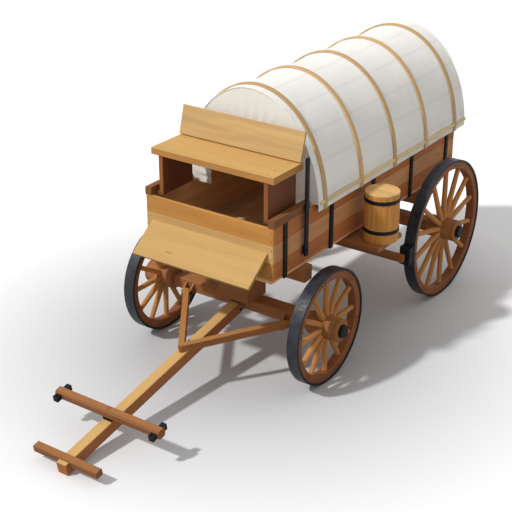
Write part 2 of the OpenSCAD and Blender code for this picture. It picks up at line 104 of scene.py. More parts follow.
def make_light():
    """A sun, and a world that is white where it is seen or mirrored and softer where it only lights."""
    data = bpy.data.lights.new("key", "SUN")
    data.energy, data.angle = SUN_STRENGTH, SUN_SPREAD
    sun = bpy.data.objects.new("key", data)
    sun.rotation_mode = "QUATERNION"
    sun.rotation_quaternion = SUN_FROM.to_track_quat("Z", "Y")
    bpy.context.scene.collection.objects.link(sun)
    world = bpy.data.worlds.new("studio")
    bpy.context.scene.world = world
    world.use_nodes = True
    tree = world.node_tree
    tree.nodes.clear()
    out = tree.nodes.new("ShaderNodeOutputWorld")
    sky = tree.nodes.new("ShaderNodeBackground")
    white = tree.nodes.new("ShaderNodeBackground")
    sky.inputs["Strength"].default_value = SKY_STRENGTH
    sky.inputs["Color"].default_value = white.inputs["Color"].default_value = (1, 1, 1, 1)
    white.inputs["Strength"].default_value = 1.0
    mix = tree.nodes.new("ShaderNodeMixShader")
    tree.links.new(seen_directly(tree), mix.inputs[0])
    tree.links.new(sky.outputs[0], mix.inputs[1])
    tree.links.new(white.outputs[0], mix.inputs[2])
    tree.links.new(mix.outputs[0], out.inputs[0])
    bpy.context.scene.view_settings.view_transform = "Standard"


def seen_directly(tree):
    """A socket that is 1 for camera, glossy and transmission rays."""
    path = tree.nodes.new("ShaderNodeLightPath")
    first = tree.nodes.new("ShaderNodeMath")
    second = tree.nodes.new("ShaderNodeMath")
    first.operation = second.operation = "MAXIMUM"
    tree.links.new(path.outputs["Is Camera Ray"], first.inputs[0])
    tree.links.new(path.outputs["Is Glossy Ray"], first.inputs[1])
    tree.links.new(first.outputs[0], second.inputs[0])
    tree.links.new(path.outputs["Is Transmission Ray"], second.inputs[1])
    return second.outputs[0]


# ---------------------------------------------------------------- material graphs

NORMAL, UV, OBJECT = 1, 2, 3  # outputs of the texture coordinate node


class Graph:
    """Short notation for a material's nodes."""

    def __init__(self, name):
        self.mat = bpy.data.materials.new(name)
        self.mat.use_nodes = True
        self.tree = self.mat.node_tree
        self.tree.nodes.clear()
        self.out = self.tree.nodes.new("ShaderNodeOutputMaterial")
        self.bsdf = self.tree.nodes.new("ShaderNodeBsdfPrincipled")
        self.tree.links.new(self.bsdf.outputs[0], self.out.inputs[0])

    def put(self, socket, value):
        if isinstance(value, bpy.types.NodeSocket):
            self.tree.links.new(value, socket)
        else:
            socket.default_value = value

    def node(self, kind, out=0, props=None, **inputs):
        """A new node's output. An input is given by its name, or by i and its number."""
        n = self.tree.nodes.new(kind)
        for key, value in (props or {}).items():
            setattr(n, key, value)
        for key, value in inputs.items():
            numbered = key.startswith("i") and key[1:].isdigit()
            self.put(n.inputs[int(key[1:]) if numbered else key], value)
        return n.outputs[out]

    def math(self, op, a, b=0.0):
        return self.node("ShaderNodeMath", props={"operation": op}, i0=a, i1=b)

    def times(self, a, b):
        return self.math("MULTIPLY", a, b)

    def coords(self, kind):
        """The texture coordinate node's NORMAL, UV or OBJECT output."""
        return self.node("ShaderNodeTexCoord", out=kind)

    def ramp(self, value, lo, hi, a=0.0, b=1.0):
        """value from lo to hi becomes a to b, smoothly and clamped."""
        n = self.tree.nodes.new("ShaderNodeMapRange")
        n.interpolation_type = "SMOOTHSTEP"
        for i, v in enumerate((value, lo, hi, a, b)):
            self.put(n.inputs[i], v)
        return n.outputs[0]

    def mix(self, fac, a, b, blend="MIX"):
        n = self.tree.nodes.new("ShaderNodeMix")
        n.data_type, n.blend_type = "RGBA", blend
        self.put(n.inputs[0], fac)
        self.put(n.inputs[6], a)
        self.put(n.inputs[7], b)
        return n.outputs[2]

    def noise(self, vector, scale, detail=2.0, distortion=0.0, rough=0.5):
        kind = {"Detail": detail, "Distortion": distortion, "Roughness": rough}
        return self.node("ShaderNodeTexNoise", Vector=vector, Scale=scale, **kind)

    def split(self, vector):
        n = self.tree.nodes.new("ShaderNodeSeparateXYZ")
        self.put(n.inputs[0], vector)
        return n.outputs

    def join(self, x, y, z):
        return self.node("ShaderNodeCombineXYZ", i0=x, i1=y, i2=z)

    def attribute(self, name):
        return self.node("ShaderNodeAttribute", out=2, props={"attribute_name": name})

    def worn_edges(self, radius):
        """1 along edges that stand out, in patches, and 0 elsewhere."""
        bevel = self.tree.nodes.new("ShaderNodeBevel")
        bevel.samples = 3
        bevel.inputs["Radius"].default_value = radius
        flat = self.node("ShaderNodeNewGeometry", out=1)
        dot = {"operation": "DOT_PRODUCT"}
        edge = self.node("ShaderNodeVectorMath", out=1, props=dot, i0=bevel.outputs[0], i1=flat)
        patchy = self.noise(self.coords(OBJECT), 9.0, 3)
        return self.times(self.ramp(edge, 0.70, 0.97, 1.0, 0.0), self.ramp(patchy, 0.35, 0.6))

    def finish(self, colour, rough, bump=None, depth=0.001, strength=0.4, metallic=0.0):
        self.put(self.bsdf.inputs["Base Color"], colour)
        self.put(self.bsdf.inputs["Roughness"], rough)
        self.put(self.bsdf.inputs["Metallic"], metallic)
        if bump is not None:
            normal = self.node("ShaderNodeBump", Strength=strength, Distance=depth, Height=bump)
            self.put(self.bsdf.inputs["Normal"], normal)
        return self.mat

    def blend(self, share, one, other):
        """Ends the material in a mix of two shaders."""
        self.put(self.out.inputs[0], self.node("ShaderNodeMixShader", i0=share, i1=one, i2=other))
        return self.mat


# for each grain direction, which coordinates run along it, across it and into the board
AXES = {"X": (0, 1, 2), "Y": (1, 0, 2), "Z": (2, 0, 1)}


def along(letter, tilt=0.0):
    """Grain along one axis of the row frame, which may be tilted about X."""

    def place(g):
        where = g.coords(OBJECT)
        if tilt:
            where = g.node("ShaderNodeMapping", Vector=where, Rotation=(-tilt, 0, 0))
        parts = g.split(where)
        return [parts[i] for i in AXES[letter]]

    return place


def along_arch(g):
    """Grain round the bows."""
    x, y, z = g.split(g.coords(OBJECT))
    height = g.math("SUBTRACT", z, SPRING)
    radius = g.math("SQRT", g.math("ADD", g.times(x, x), g.times(height, height)))
    return g.times(g.math("ARCTAN2", height, x), HALF), y, g.times(radius, 0.2)


BRACE_ACROSS, BRACE_BACK = 0.58, 0.81  # a brace's direction in plan


def along_brace(g):
    """Grain along the two struts that run from the axle's ends to the tongue."""
    x, y, z = g.split(g.coords(OBJECT))
    side = g.math("ABSOLUTE", x)
    run = g.math("ADD", g.times(side, BRACE_ACROSS), g.times(y, BRACE_BACK))
    cross = g.math("SUBTRACT", g.times(side, BRACE_BACK), g.times(y, BRACE_ACROSS))
    return run, cross, z


def along_uv(g):
    """Grain along the UV map's U, in metres."""
    u, v, _ = g.split(g.coords(UV))
    return u, v, 0.0


RING_PHASE = 330  # radians per metre across the grain, so a growth ring each 19 mm
WOOD_ROUGH, WOOD_WEAR = 0.62, 0.35


def wood(name, side, top=None, grain=None, knots=0.5):
    """Sawn, oiled wood. side is its colour, and top the colour of faces that look up, which paints the light
    falling on them.
    """
    g = Graph(name)
    solid = g.attribute("solid")
    shift = g.times(solid, 31.7)  # no two boards are cut from the same place
    run, cross, deep = (grain or along("Y"))(g)
    run, cross = g.math("ADD", run, shift), g.math("ADD", cross, shift)

    def stretched(lengthwise, crosswise):
        third = g.times(deep, crosswise) if isinstance(deep, bpy.types.NodeSocket) else 0.0
        return g.join(g.times(run, lengthwise), g.times(cross, crosswise), third)

    broad = g.noise(stretched(0.7, 13), 1.0, 2, 0.25)
    bend = g.noise(stretched(1.6, 6), 1.0, 1)
    fibre = g.noise(stretched(7, 260), 1.0, 3)
    wave = g.math("SINE", g.math("ADD", g.times(cross, RING_PHASE), g.times(bend, 11)))
    rings = g.ramp(wave, -1.0, 1.0)
    fine = g.math("ADD", g.times(rings, 0.18), g.times(fibre, 0.28))
    tone = g.math("ADD", g.ramp(broad, 0.3, 0.7, 0.11, 0.43), fine)
    colour = g.mix(tone, srgb(*side, 0.74), srgb(*side, 1.24))
    # painted light: faces that look up take the top colour
    if top:
        painted_lit_top = g.mix(tone, srgb(*top, 0.84), srgb(*top, 1.12))
        up = g.split(g.coords(NORMAL))[2]
        colour = g.mix(g.ramp(up, 0.45, 0.85), colour, painted_lit_top)
    spots = g.tree.nodes.new("ShaderNodeTexVoronoi")
    g.put(spots.inputs["Scale"], 1.0)
    g.put(spots.inputs["Vector"], stretched(1.9, 7.5))
    rare = g.ramp(g.split(spots.outputs["Color"])[0], 0.72, 0.75)
    knot = g.times(g.times(g.ramp(spots.outputs["Distance"], 0.045, 0.12, 1.0, 0.0), rare), knots)
    colour = g.mix(knot, colour, srgb(*side, 0.30))
    colour = g.mix(g.times(g.worn_edges(0.007), WOOD_WEAR), colour, srgb(*(top or side), 1.35))
    shade = g.ramp(solid, 0, 1, 0.88, 1.05)
    colour = g.mix(1.0, colour, g.node("ShaderNodeCombineColor", i0=shade, i1=shade, i2=shade), "MULTIPLY")
    g.bsdf.inputs["Specular IOR Level"].default_value = 0.28
    height = g.math("SUBTRACT", g.math("ADD", g.times(fibre, 0.7), g.times(rings, 0.3)), knot)
    rough = g.ramp(fibre, 0.3, 0.8, WOOD_ROUGH + 0.12, WOOD_ROUGH - 0.06)
    return g.finish(colour, rough, height, 0.0012, 0.45)


def iron(name, colour=(17, 19, 22), rough=0.55, polish=0.0, rust=0.10, shine=0.16):
    """Black wrought iron with forge scale, a little rust and, where it runs on the ground, bare metal."""
    g = Graph(name)
    where = g.coords(OBJECT)
    scale = g.noise(where, 42.0, 4, 0.2, 0.6)
    patch = g.noise(where, 6.0, 3)
    base = g.mix(g.ramp(scale, 0.3, 0.7), srgb(*colour, 0.75), srgb(*colour, 1.3))
    base = g.mix(g.times(g.ramp(patch, 0.55, 0.75), rust), base, srgb(92, 58, 40))
    base = g.mix(g.times(g.worn_edges(0.005), 0.25), base, srgb(80, 82, 88))
    g.bsdf.inputs["Specular IOR Level"].default_value = shine
    if polish:
        bare = g.ramp(g.noise(where, 14.0, 3), 0.35, 0.65)
        base = g.mix(g.times(bare, polish), base, srgb(120, 120, 122))
    return g.finish(base, g.ramp(scale, 0.3, 0.7, rough - 0.08, rough + 0.16), scale, 0.0012, 0.4, 0.05)


SEAM_STEP = 0.243  # between the cloth's seams
THREAD = 0.0042  # a warp or weft thread drawn coarse enough to be seen
DUST_LOW, DUST_HIGH = 1.37, 1.62  # the cloth is dusty up to here, fading out
SEEN_THROUGH = 0.07  # share of the light that comes through the cloth


def canvas(name, colour, seams=True):
    """Off-white cotton duck: plain weave, slubs, faint dust, and flat-felled seams with their stitching.
    The UV map is the cloth's own flat plane in metres: U across the arch, V along the wagon."""
    g = Graph(name)
    uv = g.coords(UV)
    u, v, _ = g.split(uv)

    def threads_along(by_u, by_v):
        return g.noise(g.join(g.times(u, by_u), g.times(v, by_v), 0.0), 1.0, 2)

    warp = g.math("SINE", g.times(u, TURN / THREAD))
    weft = g.math("SINE", g.times(v, TURN / THREAD))
    weave = g.times(warp, weft)
    threads = g.times(g.math("ADD", threads_along(420, 14), threads_along(14, 420)), 0.5)
    cloud = g.noise(uv, 2.4, 4, 0.3)
    base = g.mix(g.ramp(cloud, 0.35, 0.7), srgb(*colour, 0.97), srgb(*colour, 1.02))
    base = g.mix(g.times(g.ramp(threads, 0.35, 0.65), 0.35), base, srgb(*colour, 0.93))
    relief = g.math("ADD", g.times(weave, 0.22), g.times(threads, 0.8))
    if seams:
        away = g.math("PINGPONG", u, SEAM_STEP / 2)
        lap = g.ramp(away, 0.0075, 0.0095, 1.0, 0.0)
        stitch_line = g.times(g.ramp(away, 0.0040, 0.0050), g.ramp(away, 0.0056, 0.0066, 1.0, 0.0))
        dash = g.ramp(g.math("PINGPONG", v, 0.006), 0.0018, 0.0026)
        edge_line = g.times(g.ramp(away, 0.0072, 0.0084), g.ramp(away, 0.0100, 0.0125, 1.0, 0.0))
        base = g.mix(g.times(edge_line, 0.32), base, srgb(*colour, 0.55))
        base = g.mix(g.times(g.times(stitch_line, dash), 0.4), base, srgb(190, 178, 150))
        relief = g.math("ADD", relief, g.times(lap, 1.2))
    low = g.ramp(g.split(g.coords(OBJECT))[2], DUST_LOW, DUST_HIGH, 1.0, 0.0)
    dust = g.times(g.times(low, g.ramp(g.noise(uv, 7.0, 4), 0.35, 0.7)), 0.28)
    base = g.mix(dust, base, srgb(186, 170, 140))
    g.bsdf.inputs["Sheen Weight"].default_value = 0.12
    g.bsdf.inputs["Sheen Roughness"].default_value = 0.6
    g.bsdf.inputs["Specular IOR Level"].default_value = 0.2
    g.finish(base, 0.88, relief, 0.0009, 0.5)
    through = g.node("ShaderNodeBsdfTranslucent", Color=base)
    return g.blend(SEEN_THROUGH, g.bsdf.outputs[0], through)


# painted shade: the floor's pale grey round the wagon
FLOOR_PAINTED_SHADE = srgb(193, 194, 195)
PAINTED_SHADE_TO, WHITE_FROM = 0.9, 3.25  # distances from the middle between which the painted shade fades from grey to white
GLOW_FROM, GLOW_FULL = 5.0, 8.0  # farther out it shines by itself, so that no edge is seen


def floor_material():
    """White far off, with shade painted pale grey under the wagon. Rays that only light the object meet a
    greyer floor.
    """
    g = Graph("studio_floor")
    here = g.node("ShaderNodeNewGeometry", out=0)
    spot = g.node("ShaderNodeVectorMath", out=1, props={"operation": "DISTANCE"}, i0=here, i1=(0, 0, 0))
    away = g.node("ShaderNodeMapRange", i0=spot, i1=PAINTED_SHADE_TO, i2=WHITE_FROM, i3=0.0, i4=1.0)
    # painted shade, grey near the middle and fading to white
    shown_painted_shade = g.mix(away, FLOOR_PAINTED_SHADE, (1, 1, 1, 1))
    colour = g.mix(seen_directly(g.tree), (0.42, 0.42, 0.42, 1), shown_painted_shade)
    g.bsdf.inputs["Specular IOR Level"].default_value = 0.0
    g.finish(colour, 1.0)
    glow = g.node("ShaderNodeEmission", Color=(1, 1, 1, 1), Strength=1.0)
    far = g.times(g.ramp(spot, GLOW_FROM, GLOW_FULL), seen_directly(g.tree))
    return g.blend(far, g.bsdf.outputs[0], glow)


# ---------------------------------------------------------------- CAD nodes: solids and finishes


def mark_solids(obj):
    """Writes a steady random number for each separate solid of a mesh into the attribute 'solid'."""
    mesh = obj.data
    key = {}
    parent = list(range(len(mesh.vertices)))

    def find(i):
        while parent[i] != i:
            parent[i] = parent[parent[i]]
            i = parent[i]
        return i

    for v in mesh.vertices:
        place = tuple(round(c, 5) for c in v.co)
        if place in key:
            parent[find(v.index)] = find(key[place])
        else:
            key[place] = v.index
    for e in mesh.edges:
        parent[find(e.vertices[0])] = find(e.vertices[1])
    lows = {}
    for v in mesh.vertices:
        root = find(v.index)
        lows[root] = min(lows.get(root, (9e9,) * 3), tuple(round(c, 3) for c in v.co))
    value = {root: random.Random(f"{obj.name}{low}").random() for root, low in lows.items()}
    data = mesh.attributes.get("solid") or mesh.attributes.new("solid", "FLOAT", "POINT")
    data.data.foreach_set("value", [value[find(i)] for i in range(len(mesh.vertices))])


def finish_node(name, *rules):
    """Gives a CAD node its materials. Each rule is a material or (material, test of a face)."""
    obj = NODES[name]
    mark_solids(obj)
    obj.data.materials.clear()
    for rule in rules:
        obj.data.materials.append(rule[0] if isinstance(rule, tuple) else rule)
    for face in obj.data.polygons:
        for i, rule in enumerate(rules):
            if not isinstance(rule, tuple) or rule[1](face):
                face.material_index = i
                break


def polar(radius, angle):
    return radius * math.cos(angle), radius * math.sin(angle)


def circle(radius, z, sides):
    """Points of a level circle about Z."""
    return [(*polar(radius, TURN * i / sides), z) for i in range(sides)]


class Shape:
    """Collects the vertices, faces and UVs of one piece: a pair of UVs for each vertex."""

    def __init__(self):
        self.v, self.f, self.uv = [], [], []

    def rings(self, rings, uv_rings=None, caps=True):
        """Joins rings of points, each as long as the others, into a tube."""
        start, n = len(self.v), len(rings[0])
        for k, ring in enumerate(rings):
            self.v += [Vector(p) for p in ring]
            self.uv += list(uv_rings[k]) if uv_rings else [(0.0, 0.0)] * n
        for k in range(len(rings) - 1):
            a, b = start + k * n, start + (k + 1) * n
            for i in range(n):
                j = (i + 1) % n
                self.f.append((a + i, a + j, b + j, b + i))
        if caps:
            self.f.append(tuple(start + i for i in reversed(range(n))))
            last = start + (len(rings) - 1) * n
            self.f.append(tuple(last + i for i in range(n)))

    def dome(self, at, normal, radius, height, sides=8):
        """A low round head standing on a face."""
        turn = Vector(normal).to_track_quat("Z", "Y").to_matrix()
        rings = []
        for share, rise in ((1.0, -0.15), (1.0, 0.25), (0.72, 0.78), (0.3, 1.0)):
            ring = circle(radius * share, rise * height, sides)
            rings.append([Vector(at) + turn @ Vector(p) for p in ring])
        self.rings(rings)

    def sheet(self, rows, count, closed=False):
        """Faces of a thick sheet whose vertices are its outer layer, row by row, and then its inner one."""
        base = rows * count
        across = count if closed else count - 1
        for r in range(rows - 1):
            for i in range(across):
                a, b = r * count + i, r * count + (i + 1) % count
                self.f.append((a, a + count, b + count, b))
                self.f.append((base + a, base + b, base + b + count, base + a + count))
        last = (rows - 1) * count
        for i in range(across):
            j = (i + 1) % count
            self.f.append((i, j, base + j, base + i))
            self.f.append((last + i, base + last + i, base + last + j, last + j))
        if not closed:
            for r in range(rows - 1):
                a, b = r * count, r * count + count - 1
                self.f.append((a, base + a, base + a + count, a + count))
                self.f.append((b, b + count, base + b + count, base + b))

    def add(self, other):
        """Takes in another shape."""
        start = len(self.v)
        self.v += other.v
        self.uv += other.uv
        self.f += [tuple(i + start for i in face) for face in other.f]

    def place(self, matrix):
        self.v = [matrix @ p for p in self.v]
        return self

    def make(self, name, material, body, slot, replaces=(), shade=40):
        """A new mesh object that rides on a body, sharp where its faces meet at more than shade degrees."""
        mesh = bpy.data.meshes.new(name)
        mesh.from_pydata([tuple(v) for v in self.v], [], self.f)
        mesh.validate()
        layer = mesh.uv_layers.new(name="UVMap")
        for loop in mesh.loops:
            layer.data[loop.index].uv = self.uv[loop.vertex_index]
        obj = bpy.data.objects.new(name, mesh)
        bpy.context.scene.collection.objects.link(obj)
        mesh.materials.append(material)
        mesh.shade_smooth()
        mesh.set_sharp_from_angle(angle=math.radians(shade))
        mark_solids(obj)
        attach(obj, body)
        if replaces:
            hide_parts(*replaces)
        return obj


def lathe(profile, sides=64, wrap=False):
    """A turned shape about Z from pairs of radius and z. wrap closes them into a ring."""
    shape = Shape()
    rings, uv = [], []
    pts = profile + ([profile[0]] if wrap else [])
    run = 0.0
    for k, (r, z) in enumerate(pts):
        if k:
            run += math.hypot(r - pts[k - 1][0], z - pts[k - 1][1])
        rings.append(circle(r, z, sides))
        uv.append([(run, 0.16 * math.sin(math.pi * i / sides)) for i in range(sides)])
    shape.rings(rings, uv, caps=not wrap)
    return shape


def clusters(values, gap):
    """Values gathered into runs no further apart than gap, each as (lowest, highest)."""
    runs = []
    for value in sorted(values):
        if runs and value - runs[-1][1] <= gap:
            runs[-1][1] = value
        else:
            runs.append([value, value])
    return [tuple(run) for run in runs]


# ---------------------------------------------------------------- finishes of the CAD nodes

POLE_SLOPE = math.radians(10.745)  # of the tongue's pole at rest

# the second colour of a wood is painted light on its upward faces
side_wood = wood("side_boards", (172, 104, 56), (190, 130, 76))
side_mid = wood("side_boards_middle", (190, 136, 88), (200, 150, 100))
front_wood = wood("front_boards", (186, 130, 63), (192, 142, 78), along("X"))
front_mid = wood("front_boards_middle", (194, 153, 97), (200, 160, 104), along("X"))
gate_wood = wood("gate_boards", (168, 108, 62), (188, 132, 82), along("X"))
# painted light: the floor planks and the boards' inner faces are made paler to brighten the shaded inside
floor_painted_light_wood = wood("floor_planks", (226, 172, 122), (230, 180, 134))
inner_painted_light_wood = wood("inner_boards", (236, 182, 124), (236, 182, 124))
seat_wood = wood("seat_planks", (178, 126, 66), (199, 157, 94), along("X"), knots=0.35)
back_wood = wood("seat_back_plank", (204, 168, 112), (206, 170, 114), along("X"), knots=0.3)
foot_wood = wood("foot_planks", (176, 130, 72), (189, 152, 92), along("X"), knots=0.35)
rail_wood = wood("seat_rails", (122, 75, 42), (130, 82, 48))
post_wood = wood("seat_posts", (112, 64, 36), (130, 80, 42), along("Z"))
# painted light: the posts' faces toward the tongue, where the sun falls, get a lighter wood
post_front_painted_light = wood("seat_post_edges", (148, 88, 42), grain=along("Z"))
strip_wood = wood("hem_strips", (236, 208, 156), (240, 214, 164))
bow_wood = wood("bow_ash", (208, 172, 122), (204, 168, 118), along_arch, knots=0.1)
gear_x = wood("gear_beams", (148, 94, 50), (160, 106, 58), along("X"))
gear_y = wood("gear_reach", (148, 94, 50), (160, 106, 58))
bar_wood = wood("crossbar_wood", (128, 80, 43), (152, 100, 55), along("X"))
brace_wood = wood("brace_wood", (158, 102, 55), (176, 122, 66), along_brace)
pole_wood = wood("pole_wood", (168, 104, 57), (208, 166, 103), along("Y", POLE_SLOPE))
felloe_wood = wood("felloe_wood", (134, 80, 44), grain=along_uv, knots=0.15)
spoke_wood = wood("spoke_wood", (190, 130, 72), grain=along_uv, knots=0.0)
hub_wood = wood("hub_wood", (150, 96, 52), grain=along_uv, knots=0.1)
stave_wood = wood("stave_wood", (202, 138, 66), grain=along_uv, knots=0.3)
head_wood = wood("barrel_head_wood", (214, 174, 114), (214, 172, 108), along("X"), knots=0.3)
wrought = iron("wrought_iron")
tyre_side = iron("tyre_sides", (24, 26, 32), shine=0.22)
tyre_metal = iron("tyre_tread", (32, 35, 42), 0.40, polish=0.07, rust=0.05, shine=0.3)
cover_cloth = canvas("cover_canvas", (251, 248, 242))
curtain_cloth = canvas("curtain_canvas", (247, 244, 235), seams=False)

BOARD_LOW, BOARD_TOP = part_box("front_board")
BOARD = (BOARD_TOP.z - BOARD_LOW.z) / 3  # a board's height
SEAT_RAIL_TOP = 1.4945
REACH_SIDE = 0.0385  # the rear frame's faces nearer to the middle than this are the reach's
PLUG = 14 * MM  # the tongue irons' top, a wooden plug, is this tall


def in_middle(face):
    return BOARD_LOW.z + BOARD < face.center.z < BOARD_TOP.z - BOARD


def looks_inward(face):
    return face.center.x * face.normal.x < -0.5 * abs(face.center.x)


for node_name in ("left_side", "right_side"):
    finish_node(node_name, (inner_painted_light_wood, looks_inward), (side_mid, in_middle), side_wood)
finish_node("front_board", (front_mid, in_middle), front_wood)
finish_node("floor_boards", floor_painted_light_wood)
finish_node("tailgate", gate_wood)
finish_node(
    "seat_frame",
    (rail_wood, lambda f: f.center.z < SEAT_RAIL_TOP + 1 * MM),
    # painted light on the posts' faces that look toward the tongue
    (post_front_painted_light, lambda f: f.normal.y < -0.6),
    post_wood,
)
finish_node("seat_board", seat_wood)
finish_node("seat_back", back_wood)
finish_node("footboard", foot_wood)
finish_node("bow_rails", (strip_wood, lambda f: abs(f.center.x) > HALF - 5 * MM), rail_wood)
finish_node("bows", bow_wood)
for node_name in ("brake_beam", "front_bolster", "rear_axle", "front_axle", "gear_block", "barrel_shelf"):
    finish_node(node_name, gear_x)
finish_node("rear_frame", (gear_y, lambda f: abs(f.center.x) < REACH_SIDE), gear_x)
finish_node("tongue_pole", pole_wood)
finish_node("tongue_braces", brace_wood)
for node_name in ("yoke_bar", "doubletree"):
    finish_node(node_name, bar_wood)
plug_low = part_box("tongue_irons")[1].z - PLUG
finish_node("tongue_irons", (bar_wood, lambda f: f.center.z > plug_low), wrought)
WHEELS = ("front_left", "front_right", "rear_left", "rear_right")
for node_name in (
    "box_irons", "brake_lever", "brake_shoes", "turntable_top", "gear_irons",
    "doubletree_irons", "tailgate_irons", *(f"{w}_cap" for w in WHEELS),
):
    finish_node(node_name, wrought)
for wheel_name in WHEELS:
    finish_node(f"{wheel_name}_tyre", (tyre_side, lambda f: abs(f.normal.x) > 0.6), tyre_metal)
for node in NODES.values():
    node.data.shade_smooth()
    node.data.set_sharp_from_angle(angle=math.radians(24))

# ---------------------------------------------------------------- canvas cover and curtains

BOWS_LOW, BOWS_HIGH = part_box("bows")
BOW_WIDTH = 44 * MM
BOW_ROWS = [lerp(BOWS_LOW.y + BOW_WIDTH / 2, BOWS_HIGH.y - BOW_WIDTH / 2, i / 4) for i in range(5)]
CLOTH = 2.6 * MM  # the cloth's thickness
SKIN = 0.5 * MM  # how far its outer face stays inside the CAD cover's


def along_line(points, count):
    """A polyline resampled to count + 1 points, evenly by length, and that length."""
    walked = [0.0]
    for a, b in zip(points, points[1:]):
        walked.append(walked[-1] + math.dist(a, b))
    out, k = [], 0
    for i in range(count + 1):
        want = walked[-1] * i / count
        while k < len(points) - 2 and walked[k + 1] < want:
            k += 1
        t = (want - walked[k]) / max(1e-9, walked[k + 1] - walked[k])
        out.append((lerp(points[k][0], points[k + 1][0], t), lerp(points[k][1], points[k + 1][1], t)))
    return out, walked[-1]


def half_ellipse(half, low, rise, count):
    """Points (x, z) from the +X end over the top to the -X end."""
    angles = [math.pi * i / count for i in range(count + 1)]
    return [(half * math.cos(a), low + rise * math.sin(a)) for a in angles]


def make_arch(count):
    """Points (x, z) and outward normals along the cover's section, evenly spaced, from +X foot to -X foot."""
    fine = [(HALF, lerp(COVER_LOW.z, SPRING, i / 8)) for i in range(8)]
    fine += half_ellipse(HALF, SPRING, RISE, 1200)
    fine += [(-HALF, lerp(SPRING, COVER_LOW.z, i / 8)) for i in range(1, 9)]
    points, length = along_line(fine, count)
    line = []
    for x, z in points:
        rise = max(0.0, z - SPRING)
        line.append((x, z, Vector((x / HALF**2, 0, rise / RISE**2)).normalized()))
    return line, length


ARCH_STEPS = 170
ARCH, ARCH_LENGTH = make_arch(ARCH_STEPS)


NAIL_STEP = 0.138  # between the nails that hold the cloth's foot


def dip(z, u, y):
    """How far the cloth lies inside the arch: it sags between the bows and puckers where it is nailed."""
    t = 0.0
    for a, b in zip(BOW_ROWS, BOW_ROWS[1:]):
        if a < y < b:
            t = (y - a) / (b - a)
    high = smooth((z - 1.46) / 0.5)
    sag = 4 * t * (1 - t) * lerp(4 * MM, 15 * MM, high)
    overhang = smooth((max(BOW_ROWS[0] - y, y - BOW_ROWS[-1], 0.0)) / 0.13) * 4 * MM * high
    soft = (noise.noise(Vector((u * 2.2, y * 3.1, 4.0))) + 0.6) * 3.2 * MM * high
    below, above = smooth((1.95 - z) / 0.45), smooth((z - 1.47) / 0.16)
    pull = 1.6 * MM * (1 - math.cos(TURN * y / NAIL_STEP)) * below * above
    creases = max(0.0, noise.noise(Vector((u * 5 + y * 9, y * 6 - u * 4, 9.0)))) * 4.5 * MM * high
    near = min(abs(y - row) for row in BOW_ROWS)
    held = smooth((near - BOW_WIDTH / 2) / 0.05)
    return max(0.0, sag + overhang + (soft + pull + creases) * held)


def cover_place(i, y, inside):
    """A point of the cover at arch step i, some depth inside its outer face."""
    x, z, n = ARCH[i]
    u = ARCH_LENGTH * i / ARCH_STEPS
    deep = SKIN + dip(z, u, y) + inside
    return Vector((x - n.x * deep, y, z - n.z * deep))


HEM = 0.024


def make_cover():
    """One sheet over all five bows, hemmed at both ends."""
    y0, y1 = COVER_LOW.y, COVER_HIGH.y
    rows = [y0 + 1 * MM, y0 + 3 * MM] + [y0 + HEM * k for k in (0.4, 0.8, 0.95, 1.05)]
    steps = 118
    rows += [lerp(y0 + HEM * 1.3, y1 - HEM * 1.3, k / steps) for k in range(steps + 1)]
    rows += [y1 - HEM * k for k in (1.05, 0.95, 0.8, 0.4)] + [y1 - 3 * MM, y1 - 1 * MM]

    def depths(y):
        """How far the cloth's outer and inner face lie inside; a hem is thicker both ways."""
        hemmed = min(y - y0, y1 - y) <= HEM
        return (0.0, CLOTH + 2.2 * MM) if hemmed else (0.9 * MM, CLOTH)

    s = Shape()
    count = ARCH_STEPS + 1
    for layer in (0, 1):
        for y in rows:
            deep = depths(y)[layer]
            for i in range(count):
                s.v.append(cover_place(i, y, deep))
                s.uv.append((ARCH_LENGTH * i / ARCH_STEPS - ARCH_LENGTH / 2 + SEAM_STEP / 2, y - y0))
    s.sheet(len(rows), count)
    cover = s.make("cover_sheet", cover_cloth, "wagon", slot="canvas", replaces=["canvas_cover"], shade=60)


CURTAIN_ROUNDS = 22


def curtain(name, node, rim, mouth, fold, puckers, closed, hem_out):
    """A curtain between two matching outlines: flat at its rim and in soft folds round its mouth.
    Returns the piece and its cloth's area."""
    lo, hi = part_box(node)
    y_mid = (lo.y + hi.y) / 2
    count = len(rim)
    across = count if closed else count - 1
    rows = CURTAIN_ROUNDS + 1
    s = Shape()
    for layer in (0, 1):
        for row in range(rows):
            share = row / CURTAIN_ROUNDS
            for i in range(count):
                x, z = lerp(mouth[i][0], rim[i][0], share), lerp(mouth[i][1], rim[i][1], share)
                phase = TURN * puckers * i / across
                wander = 1.7 * noise.noise(Vector((x * 3, z * 3, 2.0)))
                deep = fold * (1 - smooth(share * 1.15)) * math.sin(phase + wander)
                deep += 4 * MM * noise.noise(Vector((x * 4, z * 4, 7.0))) * math.sin(math.pi * share)
                half = hem_out if share < 0.07 else 1.2 * MM
                s.v.append(Vector((x, y_mid + deep + (half if layer else -half), z)))
                s.uv.append((x, z))
    s.sheet(rows, count, closed)
    area = 0.0
    for r in range(rows - 1):
        for i in range(across):
            p, q, t = s.v[r * count + i], s.v[r * count + (i + 1) % count], s.v[(r + 1) * count + i]
            area += (q - p).cross(t - p).length
    return s.make(name, curtain_cloth, "wagon", slot="curtain", replaces=[node], shade=60), area


DOOR_HALF, DOOR_SPRING, DOOR_RISE = 0.395, 1.5985, 0.300  # the front opening and its arch
HOLE_ABOVE_BOARDS, HOLE_X, HOLE_Z = 0.362, 0.170, 0.210  # the rear hole's middle and its half axes


def cover_line(y, low):
    """Points (x, z) of the cover's inner face at y, above a height."""
    arch = [cover_place(i, y, CLOTH + 0.3 * MM) for i in range(ARCH_STEPS + 1)]
    return [(p.x, p.z) for p in arch if p.z > low]


